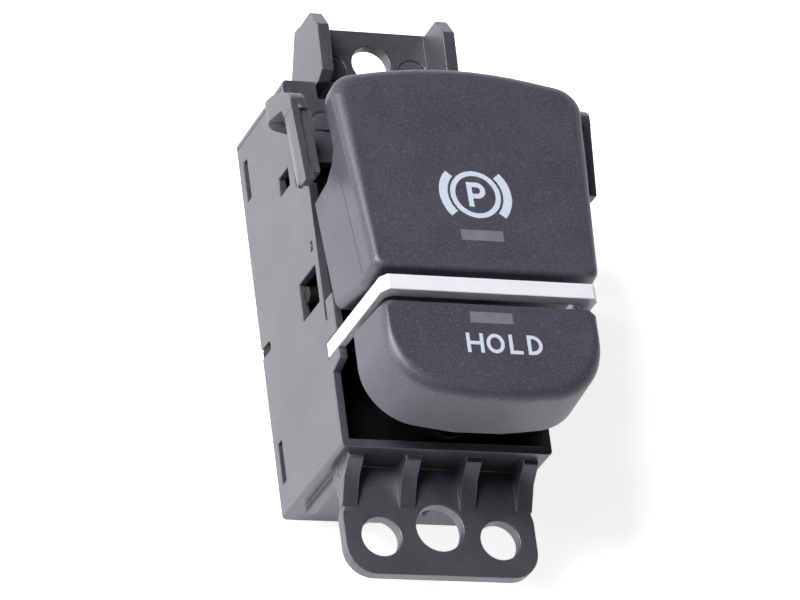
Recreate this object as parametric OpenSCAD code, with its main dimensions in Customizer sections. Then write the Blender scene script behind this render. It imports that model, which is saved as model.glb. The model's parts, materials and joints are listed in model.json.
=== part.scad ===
// Electric parking brake switch for a centre console.
// Housing with screw flanges, pull and press parking button, hold button, bright trim strip.
// Rests on its flat back, buttons facing up. +Y points to the far flange, +X to the right.
// Origin: centre of the housing's back face. Y values below count from the near end face.

/* [Housing] */
// Width across the side walls
house_w = 30; // [27:0.5:36]
// Length between the end faces
house_l = 56.8; // [54:0.2:64]
// Height of the side walls above the back face
house_h = 23.7; // [23:0.1:26]
// Height of the lower ledge under the finger grip
ledge_z = 19.2; // [18:0.1:20.5]
// Where the lower ledge starts
ledge_y = 40.4; // [39:0.2:41]
// Thickness of the side and near end walls
wall = 1.2; // [1:0.1:1.5]
// Radius of the housing's upright corners
corner_r = 0.6; // [0.3:0.1:1.2]
// Rise of the side walls beside the trim strip
cheek_rise = 3; // [1.5:0.1:4]

/* [Flanges] */
// Front face height of the near flange
near_flange_z = 17.7; // [16:0.1:20]
// How far the near flange reaches out
near_reach = 15.4; // [14:0.1:20]
// Width of the near flange
near_w = 27.3; // [25:0.1:30]
// Corner radius of the near flange
near_r = 4; // [2:0.1:5]
// Front face height of the far flange
far_flange_z = 15.5; // [13:0.1:17]
// How far the far flange reaches out
far_reach = 10.4; // [9:0.1:14]
// Width of the far flange over its two ears
far_w = 20.2; // [16:0.1:24]
// Thickness of both flanges
flange_t = 1.8; // [1.4:0.1:2.4]
// Bore of the screw holes
screw_d = 5.6; // [4:0.1:6.2]
// Distance between the two near screw holes
screw_gap = 16.9; // [16:0.1:17.6]
// Bore of the locating hole
locate_d = 6.7; // [5:0.1:7.2]
// Thickness of the upright ears
ear_t = 1.8; // [1.2:0.1:2.4]

/* [Side arms] */
// Distance between the outer faces of the side arms at their far end
arm_span = 43; // [41.6:0.1:48]
// How far the side arms stand above the side walls
arm_rise = 12.9; // [12:0.1:13.3]
// Length of the side arms along the button
arm_l = 11.9; // [9:0.1:13]

/* [Parking button] */
// Width of the parking button at the trim strip
park_near_w = 32.2; // [31.6:0.1:33]
// Width of the parking button at the grip
park_far_w = 35.8; // [34:0.1:36.1]
// Height of the parking button over its skirts
park_h = 14.2; // [13.4:0.1:16]
// Gap between the raised cheeks and the parking button's skirts
park_gap = 2.3; // [2:0.1:3.5]
// Where the parking button's grip ends
park_end_y = 48.1; // [46:0.1:49.5]
// How far both buttons sit to the right of the middle
face_x = 0.5; // [0:0.1:0.6]
// Wall thickness of both buttons
cap_t = 1.8; // [1.2:0.1:2]
// Hinge axis, distance from the near end face
hinge_y = 24; // [23.7:0.1:24.3]
// Hinge axis, height above the lower edge of the skirts
hinge_rise = 6; // [5.4:0.1:6.4]
// Diameter of the hinge pins
pin_d = 2.4; // [1.6:0.1:2.8]

/* [Hold button and trim] */
// Width of the hold button
hold_w = 31.2; // [29:0.1:31.6]
// Height of the hold button
hold_h = 9.8; // [8.6:0.1:11]
// Gap between the raised cheeks and the hold button
hold_gap = 5.8; // [4:0.1:7]
// Depth of the trim strip
trim_y = 2.2; // [1.6:0.1:2.4]
// How far the trim strip stands proud of the parking button
trim_proud = 0.9; // [0.3:0.1:1.6]
// Depth of the shallow dish in the hold button
hold_dish = 0.3; // [0.1:0.05:0.4]
// Width of the light windows
window_w = 5.8; // [4:0.1:6.4]
// Depth of the light windows
window_d = 1.4; // [1:0.1:1.6]

/* [Inside] */
// Thickness of the rear cover
cover_t = 1.6; // [1.2:0.1:2]
// Height of the circuit board's rear face
board_z = 9; // [8.4:0.1:9.4]
// Thickness of the circuit board
board_t = 1.6; // [1:0.1:1.6]
// Diameter of the switch plungers
plunger_d = 3; // [2.4:0.1:3.2]
// Distance of the parking plungers from the hinge axis
plunger_arm = 7; // [6.4:0.1:7.4]
// Height of the inner frame's deck
deck_z = 14; // [13.8:0.1:14.2]
// Thickness of the inner frame's deck
deck_t = 1.6; // [1.4:0.1:1.8]
// Length of the connector socket
socket_l = 17.6; // [15:0.1:18]
// Width of the connector socket
socket_w = 7.6; // [6:0.1:8]
// Thickness of the connector socket's wall
socket_t = 1.4; // [1:0.1:1.6]
// Connector contacts in each row
contacts = 4; // [2:1:5]

/* [Clearances] */
// Gap between parts that are fixed together
fit = 0.15; // [0.1:0.05:0.25]
// Gap round a turning pin
pin_play = 0.05; // [0.02:0.01:0.1]
// Gap round a sliding plunger or stem
slide_play = 0.1; // [0.05:0.01:0.2]
// Gap between a plunger and what presses it
press_gap = 0.2; // [0.15:0.05:0.3]

/* [Hidden] */
$fn = 48;
eps = 0.01;

half_w = house_w / 2;
in_half = half_w - wall;
end_wall = 3.8;
ledge_t = 2;
well_end = house_l - 12.2;
step_run = 1.6;

// heights that follow from the housing upwards
cheek_z = house_h + cheek_rise;
park_low_z = cheek_z + park_gap;
park_top_z = park_low_z + park_h;
hinge_z = park_low_z + hinge_rise;
hold_low_z = cheek_z + hold_gap;
hold_top_z = hold_low_z + hold_h;
arm_z = house_h + arm_rise;

// trim strip and the notches that hold it
trim_y0 = 13.1;
trim_y1 = trim_y0 + trim_y;
trim_top_z = park_top_z + trim_proud;
trim_seat = 0.7;
trim_foot_z = house_h - trim_seat;
trim_bend = [0.8, 1.2];
trim_tab = 1.1;

// raised cheeks beside the trim strip
cheek_y0 = trim_y0 - 2.4;
cheek_y1 = trim_y1 + 5.7;

// snap windows of the rear cover
latch_l = 6;
latch_h = 1.6;
latch_z = 1.6;
latch_near_y = 4.4;
latch_far_y = house_l - 9.8;
rear_notch_y = 24.5;
rear_notch_w = 1.4;
rear_notch_h = 3.4;

// window at the frame's locating pegs
peg_window = [21.8, 15.9, 5.5, 6.4];
peg_d = 2.3;
peg_y = peg_window[0] + 3.5;
peg_z = peg_window[1] + peg_d / 2 + fit;
peg_in = 0.5;

// side arms, drawn for the right side
arm_tilt = 3.3;
arm_y0 = 32.3;
arm_y1 = arm_y0 + arm_l;
arm_out = arm_span / 2;
arm_face_h = 2;
arm_root_z = arm_z - 12.7;
arm_bend_z = arm_z - 8.2;
arm_bend_r = 3.2;
arm_stem_t = 2.1;

// near flange
screw_y = 10;
locate_y = 8.5;
rib_t = 2.2;
rib_edge = near_w / 2 - rib_t / 2 - 0.1;
rib_xs = [-rib_edge, -4.3, 4.3, rib_edge];
rib_top_z = house_h - 1.7;
under_rib_z = 4.2;
under_rib_out = 1;

// far flange
far_hole_y = house_l + 5.35;
ear_top_z = far_flange_z + 6.6;
ear_notch = 2.6;
ear_root = 0.4;
mark_d = 4.2;
mark_line = 0.3;
mark_depth = 0.15;

// parking button
park_y0 = trim_y1 + 0.6;
park_end_drop = 2;
park_grip_t = 3;
skirt_y1 = 32.6;
park_lean = 0.9;
park_tuck = 1.7;
park_bulge_z = 5.3;
park_corner_r = 1.4;
park_far_r = 3.8;
park_bow = 1.7;
park_round = [1.1, 2.1, 0.6, 1.6, 1.3];
lug_t = 2;
lug_out = 10.2;
lug_in = lug_out - lug_t;
lug_r = 3.2;
tower_in = lug_out + 0.8;
tower_t = 1.8;
tower_out = tower_in + tower_t;
tower_r = 3.2;
roof_slope = park_end_drop / (park_end_y - park_y0);

// lever under the parking button
lever_half = lug_in - 0.1;
leg_in = 4.5;
foot_rise = 5.4;
foot_z = deck_z + deck_t + foot_rise;
foot_t = 2.4;
foot_reach = 9;
leg_y0 = hinge_y - 3;
leg_y1 = hinge_y + 3.5;
leg_slot_gap = (hinge_z - pin_d / 2 - foot_z - foot_t) / 4;

// light path of the parking button
park_window_y = hinge_y - 1.8;
pipe_low_z = hinge_z - 6.5;
shaft_top_z = pipe_low_z - 1.5;
shaft_t = 0.9;

// hold button
hold_y0 = -1.6;
hold_y1 = trim_y0 - 0.5;
hold_r = 8;
hold_bow = 0.7;
hold_window_y = 10.6;
hold_travel = 1.2;
stem_d = 4.2;
stem_tube_t = 1;
stem_y = wall + fit + stem_tube_t + slide_play + stem_d / 2;
stem_low_z = deck_z + deck_t + 2.4;
stem_tube_z = house_h + 1.3;
stem_head_z = hold_low_z + 4;
stem_head_d = 7.6;

// circuit board and what is on it
board_top = board_z + board_t;
board_gap = 0.3;
mat_t = 0.8;
mat_half = 10;
mat_edge = 3.6;
dome_h = 1.7;
dome_base_r = 2.6;
dome_top_r = 1.9;
dome_top = board_top + mat_t + dome_h;
plunger_low = dome_top + press_gap;
plunger_top = foot_z - press_gap;
plunger_x = 6;
pull_y = hinge_y - plunger_arm;
press_y = hinge_y + plunger_arm;
guide_h = 2.4;
guide_t = 1.1;
spring_wire = 0.5;
spring_d = 3.6;
hold_wire = 0.6;

// connector
socket_y = house_l - 15.8;
socket_depth = 7;
pin_size = 0.64;
pin_pitch = 3;
pin_low_z = 4.6;

// feet of the inner frame and pillars of the rear cover
frame_foot = [11, 9.5, well_end - 7.3];
frame_foot_d = 2.4;
pillar = [9.5, 6, socket_y - 14];
pillar_d = 3;

// parts on the circuit board
chip = [7, 7, 1.25];
chip_y = socket_y + 7;
chip_lift = 0.15;
chip_legs = 7;
chip_leg = [1, 0.4, 0.35];
chip_pitch = 0.9;
capacitor = [2, 1.3, 1.1];
capacitor_x = 9.6;
capacitor_ys = [socket_y + 5.4, socket_y + 8.4];

// what every part is placed by
module from_near_end() {
    translate([0, -house_l / 2, 0]) children();
}

// side profile, drawn as [y, z], made into a solid from x0 to x1
module side_slab(x0, x1, points) {
    translate([x0, 0, 0])
        multmatrix([[0, 0, 1, 0], [1, 0, 0, 0], [0, 1, 0, 0], [0, 0, 0, 1]])
            linear_extrude(x1 - x0) polygon(points);
}

// end profile, drawn as [x, z], made into a solid from y0 to y1
module end_slab(y0, y1, points) {
    translate([0, y1, 0]) rotate([90, 0, 0]) linear_extrude(y1 - y0) polygon(points);
}

module block(x0, x1, y0, y1, z0, z1) {
    translate([x0, y0, z0]) cube([x1 - x0, y1 - y0, z1 - z0]);
}

module post(x, y, z0, z1, d) {
    translate([x, y, z0]) cylinder(d = d, h = z1 - z0);
}

// plan outline with round corners
module round_plan(x0, x1, y0, y1, r) {
    translate([x0 + r, y0]) square([x1 - x0 - 2 * r, y1 - y0]);
    translate([x0, y0 + r]) square([x1 - x0, y1 - y0 - 2 * r]);
    for (x = [x0 + r, x1 - r], y = [y0 + r, y1 - r]) translate([x, y]) circle(r);
}

// points on an arc in the XY plane
function arc_points(cx, cy, r, a0, a1, n) =
    [for (i = [0:n]) let (a = a0 + (a1 - a0) * i / n) [cx + r * cos(a), cy + r * sin(a)]];

// height of the parking button's front face at y
function park_face(y) = park_top_z - (y - park_y0) * roof_slope;

// half width of the parking button at y
function park_half(y) =
    park_near_w / 2 + (park_far_w - park_near_w) / 2 * (y - park_y0) / (park_end_y - 5 - park_y0);

// round wire wound upwards, ends closed
module coil(r, wire, z0, z1, turns) {
    sides = 8;
    steps = 20;
    n = turns * steps;
    function ring(i) = let (
        a = 360 * i / steps,
        z = z0 + wire / 2 + (z1 - z0 - wire) * i / n
    ) [for (k = [0:sides - 1]) let (b = 360 * k / sides)
        [(r + wire / 2 * cos(b)) * cos(a), (r + wire / 2 * cos(b)) * sin(a), z + wire / 2 * sin(b)]];
    polyhedron(
        points = [for (i = [0:n]) each ring(i)],
        faces = concat(
            [[for (k = [0:sides - 1]) k]],
            [for (i = [0:n - 1], k = [0:sides - 1])
                [i * sides + k, (i + 1) * sides + k, (i + 1) * sides + (k + 1) % sides,
                 i * sides + (k + 1) % sides]],
            [[for (k = [sides - 1:-1:0]) n * sides + k]]
        ),
        convexity = 10
    );
}

module side_profile_body() {
    side_slab(-half_w, half_w, [
        [0, 0], [house_l, 0], [house_l, ledge_z], [ledge_y, ledge_z],
        [ledge_y - step_run, house_h], [cheek_y1, house_h], [cheek_y1, cheek_z],
        [cheek_y0 + 0.8, cheek_z], [cheek_y0, house_h], [0, house_h]
    ]);
}

// round line left by an ejector pin
module ejector_mark(x, y, z) {
    translate([x, y, z - mark_depth]) difference() {
        cylinder(d = mark_d, h = 1);
        cylinder(d = mark_d - mark_line, h = 3, center = true);
    }
}

module near_rib(x) {
    side_slab(x - rib_t / 2, x + rib_t / 2, [
        [wall / 2, near_flange_z - flange_t / 2], [-5.8, near_flange_z - flange_t / 2],
        [-5.8, near_flange_z + 0.1], [-2.6, near_flange_z + 1.9], [-0.7, rib_top_z], [wall / 2, rib_top_z]
    ]);
}

module near_flange() {
    difference() {
        translate([0, 0, near_flange_z - flange_t]) linear_extrude(flange_t)
            round_plan(-near_w / 2, near_w / 2, -near_reach, wall / 2 + near_r, near_r);
        for (s = [-1, 1]) post(s * screw_gap / 2, -screw_y, 0, house_h, screw_d);
        post(0, -locate_y, 0, house_h, locate_d);
        block(-half_w, half_w, wall, 2 * near_r, 0, house_h);
        for (s = [-1, 1]) post(s * (near_w / 2 + 7.6), -4.6, 0, house_h, 16);
    }
    for (x = rib_xs) near_rib(x);
    for (x = rib_xs) block(x - rib_t / 2 + 0.4, x + rib_t / 2 - 0.4, -under_rib_out, wall / 2,
        under_rib_z, near_flange_z - flange_t + eps);
}

module far_ear() {
    side_slab(far_w / 2 - ear_t, far_w / 2, [
        [house_l - ear_root, 8], [house_l, 8.4], [house_l + far_reach - 0.2, far_flange_z - flange_t],
        [house_l + far_reach - 0.2, ear_top_z - 2], [house_l + far_reach - 2.9, ear_top_z],
        [house_l + 0.6, ear_top_z - 0.3], [house_l - ear_root, ledge_z + 0.9]
    ]);
}

module far_flange() {
    difference() {
        block(-far_w / 2, far_w / 2, house_l - 1, house_l + far_reach, far_flange_z - flange_t, far_flange_z);
        post(0, far_hole_y, 0, house_h, screw_d);
        for (s = [-1, 1]) ejector_mark(s * 6, house_l + 4.3, far_flange_z);
    }
    far_ear();
    mirror([1, 0, 0]) far_ear();
}

// one side arm: a curved stem rising from the wall and a bar along the button
module side_arm() {
    bar_in = arm_out - 2.7;
    intersection() {
        end_slab(arm_y1 - 4, arm_y1 + 6, concat(
            [[in_half + 0.2, ledge_z - 4], [half_w, ledge_z - 4], [half_w, arm_root_z]],
            arc_points(arm_out - arm_bend_r, arm_bend_z, arm_bend_r, -68, 0, 8),
            [[arm_out, arm_z], [arm_out - arm_stem_t, arm_z]],
            arc_points(arm_out - arm_bend_r, arm_bend_z, arm_bend_r - arm_stem_t, 0, -68, 5),
            [[in_half + 0.2, arm_root_z + 1.7]]
        ));
        side_slab(half_w - wall, arm_out + 1, [
            [arm_y1 - 1.2, arm_z], [arm_y1 + 0.2, arm_z], [arm_y1 + 0.9, arm_z - 0.3],
            [arm_y1 + 1.5, arm_z - 1], [arm_y1 + 2.9, arm_z - 3.8], [arm_y1 + 3.8, arm_z - 6.2],
            [arm_y1 + 4.3, arm_z - 9], [arm_y1 + 4.3, ledge_z - 4],
            [arm_y1 + 1.1, ledge_z - 4], [arm_y1 + 1, arm_z - 8], [arm_y1 + 0.2, arm_z - 3.7],
            [arm_y1 - 1.2, arm_z - 3]
        ]);
    }
    translate([arm_out, arm_y1, 0]) rotate([0, 0, -arm_tilt]) translate([-arm_out, -arm_y1, 0]) {
        end_slab(arm_y0 + 1, arm_y1, [
            [arm_out - 0.95, arm_z], [arm_out, arm_z], [arm_out, arm_z - arm_face_h],
            [arm_out - 0.7, arm_z - 4.6], [arm_out - 1.4, arm_z - 4.8], [arm_out - 1.6, arm_z - 3]
        ]);
        side_slab(arm_out - 1.4, arm_out, [
            [arm_y0, arm_z - arm_face_h], [arm_y0, arm_z], [arm_y0 + 2, arm_z],
            [arm_y0 + 2, arm_z - arm_face_h - 0.6]
        ]);
        end_slab(arm_y0 + 1.4, arm_y1 - 0.7, [
            [bar_in, arm_z - 0.7], [arm_out - 0.9, arm_z - 0.7], [arm_out - 0.9, arm_z - 3.4],
            [bar_in + 0.5, arm_z - 3.4], [bar_in, arm_z - 2.8]
        ]);
    }
}

module side_openings(s) {
    x0 = s > 0 ? in_half - 1 : -half_w - 1;
    x1 = x0 + wall + 2;
    for (y = [latch_near_y, latch_far_y]) block(x0, x1, y, y + latch_l, latch_z, latch_z + latch_h);
    block(x0, x1, rear_notch_y - rear_notch_w / 2, rear_notch_y + rear_notch_w / 2,
        -1, rear_notch_h - rear_notch_w / 2);
    translate([x0, rear_notch_y, rear_notch_h - rear_notch_w / 2]) rotate([0, 90, 0])
        cylinder(d = rear_notch_w, h = x1 - x0);
    block(x0, x1, peg_window[0], peg_window[0] + peg_window[2], peg_window[1], peg_window[1] + peg_window[3]);
    block(x0, x1, well_end - 2.8, well_end - 0.1, ledge_z - 5.8, ledge_z - 2);
    // fine line beside the far corner
    block(s > 0 ? half_w - mark_depth : -half_w - 1, s > 0 ? half_w + 1 : -half_w + mark_depth,
        house_l - 1.2, house_l - 1, -1, ledge_z + 1);
    block(x0, x1, 29.5, 30.9, house_h - 2.3, house_h - 1.4);
    block(x0, x1, cheek_y1 - 2.7, cheek_y1 + eps, house_h - 0.1, house_h + 0.5);
    block(x0, x1, trim_y0 - fit, trim_y1 + fit, trim_foot_z - fit, cheek_z + 1);
}

module housing() {
    color("#3d3d42") from_near_end() {
        difference() {
            intersection() {
                side_profile_body();
                linear_extrude(cheek_z + 1) round_plan(-half_w, half_w, 0, house_l, corner_r);
            }
            // rear chamber
            block(-in_half, in_half, wall, house_l - end_wall, -1, ledge_z - ledge_t);
            // front well
            block(-in_half, in_half, wall, well_end, ledge_z - ledge_t - eps, cheek_z + 1);
            // pocket between the ears
            block(-far_w / 2 + ear_t, far_w / 2 - ear_t, house_l - 1.7, house_l + 1, far_flange_z, ledge_z + 1);
            // sunken part of the ledge and the ejector marks
            block(-half_w + 2.6, half_w - 2.6, well_end - 1, well_end + 4.8, ledge_z - 0.3, ledge_z + 1);
            for (s = [-1, 1]) ejector_mark(s * 9.6, well_end + 5.6, ledge_z);
            // notches that the ears stand in
            for (s = [-1, 1]) block(s * (far_w - ear_t) / 2 - ear_t / 2, s * (far_w - ear_t) / 2 + ear_t / 2,
                house_l - ear_notch, house_l + 1, far_flange_z - 6, ledge_z + 1);
            for (s = [-1, 1]) side_openings(s);
        }
        near_flange();
        far_flange();
        side_arm();
        mirror([1, 0, 0]) side_arm();
        // ledges that stop the circuit board
        for (s = [-1, 1], y = [wall, house_l - end_wall - 4])
            block(min(s * in_half, s * (in_half - 1.6)), max(s * in_half, s * (in_half - 1.6)),
                y, y + 4, board_top + fit, board_top + 3);
    }
}

module cover_latch(s, y) {
    mirror([s < 0 ? 1 : 0, 0, 0])
        end_slab(y + fit, y + latch_l - fit, [
            [in_half - 1.4, 0.2], [in_half - fit, 0.2], [in_half - fit, latch_z + fit],
            [half_w - 0.7, latch_z + fit], [half_w - 0.7, latch_z + 0.7],
            [in_half - fit, latch_z + latch_h - fit], [in_half - 1.4, latch_z + latch_h - fit]
        ]);
}

module rear_cover() {
    color("#37373b") from_near_end() {
        difference() {
            block(-in_half + fit, in_half - fit, wall + fit, house_l - end_wall - fit, 0, cover_t);
            block(-socket_l / 2 - socket_t - fit, socket_l / 2 + socket_t + fit,
                socket_y - socket_w / 2 - socket_t - fit, socket_y + socket_w / 2 + socket_t + fit, -1, 4);
        }
        for (s = [-1, 1], y = [latch_near_y, latch_far_y]) cover_latch(s, y);
        // ribs that fill the notches at the rear edge
        for (s = [-1, 1]) block(s > 0 ? in_half - 1.2 : -half_w + 0.2, s > 0 ? half_w - 0.2 : -in_half + 1.2,
            rear_notch_y - rear_notch_w / 2 + fit, rear_notch_y + rear_notch_w / 2 - fit, 0, rear_notch_h - 0.9);
        // pillars under the circuit board
        for (s = [-1, 1], y = [pillar[1], pillar[2]]) post(s * pillar[0], y, cover_t - eps, board_z, pillar_d);
    }
}

module tower() {
    difference() {
        union() {
            block(tower_in, tower_out, hinge_y - 4, hinge_y + 4, deck_z, hinge_z);
            translate([tower_in, hinge_y, hinge_z]) rotate([0, 90, 0]) cylinder(r = tower_r, h = tower_t);
            block(tower_in, tower_out, hinge_y - 5.4, hinge_y + 5.4, deck_z, deck_z + 6);
        }
        translate([tower_in - 1, hinge_y, hinge_z]) rotate([0, 90, 0])
            cylinder(d = pin_d + 0.02, h = tower_t + 2);
        for (s = [-1, 1]) block(tower_in - 1, tower_out + 1, hinge_y + s * 4.6 - 1.4, hinge_y + s * 4.6 + 1.4,
            deck_z + 6, hinge_z + 9);
    }
    post_out = in_half - fit;
    translate([tower_in, peg_y, peg_z]) rotate([0, 90, 0])
        cylinder(d = peg_d, h = half_w - peg_in - tower_in);
    block(tower_out - eps, post_out, hinge_y - 3, hinge_y + 3, deck_z, deck_z + deck_t);
}

module inner_frame() {
    color("#2b2b2e") from_near_end() {
        difference() {
            union() {
                block(-in_half + fit, in_half - fit, wall + fit, well_end - fit, deck_z, deck_z + deck_t);
                post(0, stem_y, deck_z, stem_tube_z, stem_d + 2 * (slide_play + stem_tube_t));
                for (p = [[-plunger_x, pull_y], [plunger_x, press_y]])
                    post(p[0], p[1], deck_z, deck_z + deck_t + guide_h, plunger_d + 2 * (slide_play + guide_t));
            }
            post(0, stem_y, deck_z - 1, stem_tube_z + 1, stem_d + 2 * slide_play);
            for (p = [[-plunger_x, pull_y], [plunger_x, press_y]])
                post(p[0], p[1], deck_z - 1, deck_z + 6, plunger_d + 2 * slide_play);
            for (y = [park_window_y, hold_window_y])
                light_window(y, shaft_t + 2 * fit, deck_z - 1, deck_z + 3);
        }
        tower();
        mirror([1, 0, 0]) tower();
        // feet on the circuit board
        for (s = [-1, 1], y = [frame_foot[1], frame_foot[2]])
            post(s * frame_foot[0], y, board_top, deck_z + eps, frame_foot_d);
    }
}

module trim_strip() {
    trim_right = half_w + face_x;
    color("#e9e9ee") from_near_end()
        difference() {
            union() {
                end_slab(trim_y0, trim_y1, [
                    [-half_w, trim_foot_z], [-half_w, trim_top_z - trim_bend[1]],
                    [-half_w + trim_bend[0], trim_top_z],
                    [trim_right - trim_bend[0], trim_top_z], [trim_right, trim_top_z - trim_bend[1]],
                    [trim_right, cheek_z + 1.2], [half_w, cheek_z + 0.6], [half_w, trim_foot_z],
                    [in_half, trim_foot_z], [in_half, trim_top_z - 3], [in_half - 0.8, trim_top_z - 2.2],
                    [-in_half + 0.8, trim_top_z - 2.2], [-in_half, trim_top_z - 3], [-in_half, trim_foot_z]
                ]);
                // tabs at the feet
                for (s = [-1, 1]) block(s * in_half - trim_tab, s * in_half + trim_tab,
                    trim_y0 + 0.4, trim_y1 - 0.4, trim_foot_z, trim_foot_z + 0.9);
            }
            // sloped foot of each leg
            for (s = [-1, 1]) side_slab(min(s * in_half - s, s * (half_w + 1)),
                max(s * in_half - s, s * (half_w + 1)), [[trim_y0 - 1, trim_foot_z - 1], [trim_y0 + 0.7, trim_foot_z - 1], [trim_y0 - 1, trim_foot_z + 1.6]]);
        }
}

// plan of the parking button; insets at the near sides, far sides, near end and far end
function park_plan(near_in, far_in, y0_in, y1_in) = let (
    near = park_near_w / 2 - near_in,
    far = park_far_w / 2 - far_in,
    y0 = park_y0 + y0_in,
    y1 = park_end_y - y1_in,
    r = park_far_r - far_in / 2,
    flat = far - r
) concat(
    arc_points(near - park_corner_r, y0 + park_corner_r, park_corner_r, -90, -8, 4),
    arc_points(flat, y1 - park_bow - r, r, 6, 78, 9),
    [for (i = [-4:4]) let (x = -flat * i / 5) [x, y1 - park_bow * pow(x / flat, 2)]],
    arc_points(-flat, y1 - park_bow - r, r, 102, 174, 9),
    arc_points(-near + park_corner_r, y0 + park_corner_r, park_corner_r, 188, 270, 4)
);

// one thin layer of the parking button, depth below the front face
module park_layer(depth, near_in, far_in, y0_in, y1_in) {
    translate([face_x, 0, park_top_z - depth])
        linear_extrude(0.02) polygon(park_plan(near_in, far_in, y0_in, y1_in));
}

module park_outer() {
    end_z = park_face(park_end_y);
    intersection() {
        multmatrix([[1, 0, 0, 0], [0, 1, 0, 0], [0, -roof_slope, 1, roof_slope * park_y0], [0, 0, 0, 1]])
            hull() {
                for (a = [0:15:90]) let (f = 1 - cos(a))
                    park_layer(park_round[4] * (1 - sin(a)) + 0.02, park_round[0] * f, park_round[1] * f,
                        park_lean + park_round[2] * f, park_round[3] * f);
                park_layer(park_bulge_z, 0, 0, 0, 0.5);
                park_layer(park_h + 2, -0.1, 0, park_tuck, 4);
            }
        side_slab(-park_far_w, park_far_w, [
            [park_y0 - 1, park_low_z], [skirt_y1, park_low_z + 0.4], [skirt_y1 + 0.7, park_low_z + 5.2],
            [skirt_y1 + 2, park_low_z + 7.6], [skirt_y1 + 3.8, park_face(skirt_y1 + 3.8) - park_grip_t - 0.7],
            [park_end_y + 1, end_z - park_grip_t], [park_end_y + 1, park_top_z + 1], [park_y0 - 1, park_top_z + 1]
        ]);
    }
}

module park_cavity() {
    intersection() {
        translate([face_x, 0, 0]) linear_extrude(park_top_z) polygon([
            [-park_half(park_y0) + cap_t, park_y0 + 1.9], [park_half(park_y0) - cap_t, park_y0 + 1.9],
            [park_half(skirt_y1) - cap_t, skirt_y1 - 1.5], [-park_half(skirt_y1) + cap_t, skirt_y1 - 1.5]
        ]);
        side_slab(-park_far_w, park_far_w, [
            [park_y0, park_low_z - 1], [skirt_y1, park_low_z - 1], [skirt_y1, park_face(skirt_y1) - cap_t],
            [park_y0 + 4, park_face(park_y0 + 4) - cap_t], [park_y0 + 1.9, park_top_z - 5],
            [park_y0 + 1.9, park_low_z + 3], [park_y0 + 1.5, park_low_z - 1]
        ]);
    }
}

module hinge_lug(s) {
    x0 = s > 0 ? lug_in : -lug_out;
    difference() {
        union() {
            translate([x0, hinge_y, hinge_z]) rotate([0, 90, 0]) cylinder(r = lug_r, h = lug_t);
            side_slab(x0, x0 + lug_t, [
                [hinge_y - lug_r, hinge_z], [hinge_y + lug_r, hinge_z],
                [hinge_y + lug_r + 1, park_face(hinge_y + lug_r + 1) - cap_t + 0.3],
                [hinge_y - lug_r - 1, park_face(hinge_y - lug_r - 1) - cap_t + 0.3]
            ]);
        }
        translate([x0 - 1, hinge_y, hinge_z]) rotate([0, 90, 0])
            cylinder(d = pin_d + 2 * pin_play, h = lug_t + 2);
    }
}

module light_window(y, gap, z0, z1) {
    block(face_x - window_w / 2 - gap, face_x + window_w / 2 + gap,
        y - window_d / 2 - gap, y + window_d / 2 + gap, z0, z1);
}

// light pipe with a wider foot that rests under the button's roof
module light_pipe(y, top_z, roof_z) {
    light_window(y, 0, pipe_low_z, top_z);
    block(face_x - window_w / 2 - 0.6, face_x + window_w / 2 + 0.6,
        y - window_d / 2, y + window_d / 2, pipe_low_z, roof_z);
}

module parking_button() {
    color("#4a4a50") from_near_end() {
        difference() {
            park_outer();
            park_cavity();
            light_window(park_window_y, fit / 2, park_low_z, park_top_z + 1);
            // hollow under the finger grip
            side_slab(face_x - park_far_w / 2 + 3.6, face_x + park_far_w / 2 - 3.6, [
                [skirt_y1 + 2.6, park_low_z + 3], [park_end_y - 5, park_low_z + 3],
                [park_end_y - 5, park_face(park_end_y - 5) - cap_t], [skirt_y1 + 2.6, park_face(skirt_y1 + 2.6) - cap_t]
            ]);
        }
        hinge_lug(-1);
        hinge_lug(1);
    }
}

module parking_lever() {
    roof = cap_t + 0.05;
    top_y0 = park_window_y + window_d / 2 + 0.6;
    color("#d8d4c8") from_near_end() {
        for (s = [-1, 1]) {
            x0 = s > 0 ? leg_in : -lever_half;
            x1 = s > 0 ? lever_half : -leg_in;
            difference() {
                side_slab(x0, x1, [
                    [leg_y0, foot_z + foot_t], [leg_y0, park_face(leg_y0) - roof],
                    [leg_y1, park_face(leg_y1) - roof], [leg_y1, foot_z + foot_t],
                    [hinge_y + foot_reach, foot_z + foot_t * 0.6], [hinge_y + foot_reach, foot_z],
                    [hinge_y - foot_reach, foot_z], [hinge_y - foot_reach, foot_z + foot_t * 0.6]
                ]);
                translate([x0 - 1, hinge_y, hinge_z]) rotate([0, 90, 0])
                    cylinder(d = pin_d + 2 * pin_play, h = x1 - x0 + 2);
                block(x0 - 1, x1 + 1, hinge_y - 1, hinge_y + 1,
                    foot_z + foot_t + leg_slot_gap, hinge_z - pin_d / 2 - leg_slot_gap);
            }
        }
        // bridge between the two legs
        side_slab(-leg_in - eps, leg_in + eps, [
            [top_y0, hinge_z - 2.4], [top_y0, park_face(top_y0) - roof],
            [leg_y1, park_face(leg_y1) - roof], [leg_y1, hinge_z - 2.4]
        ]);
    }
}

module pivot_pin() {
    color("#b9bcc2")
        translate([lug_in - 1.2, hinge_y, hinge_z]) rotate([0, 90, 0]) {
            length = tower_out - lug_in + 1.2;
            cylinder(d = pin_d, h = length);
        }
}

module pivot_pin_left() { from_near_end() mirror([1, 0, 0]) pivot_pin(); }
module pivot_pin_right() { from_near_end() pivot_pin(); }

module parking_light_pipe() {
    face_z = park_face(park_window_y + window_d / 2);
    color("#cfd4d8") from_near_end() light_pipe(park_window_y, face_z - 0.03, face_z - cap_t - 0.1);
}

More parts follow.
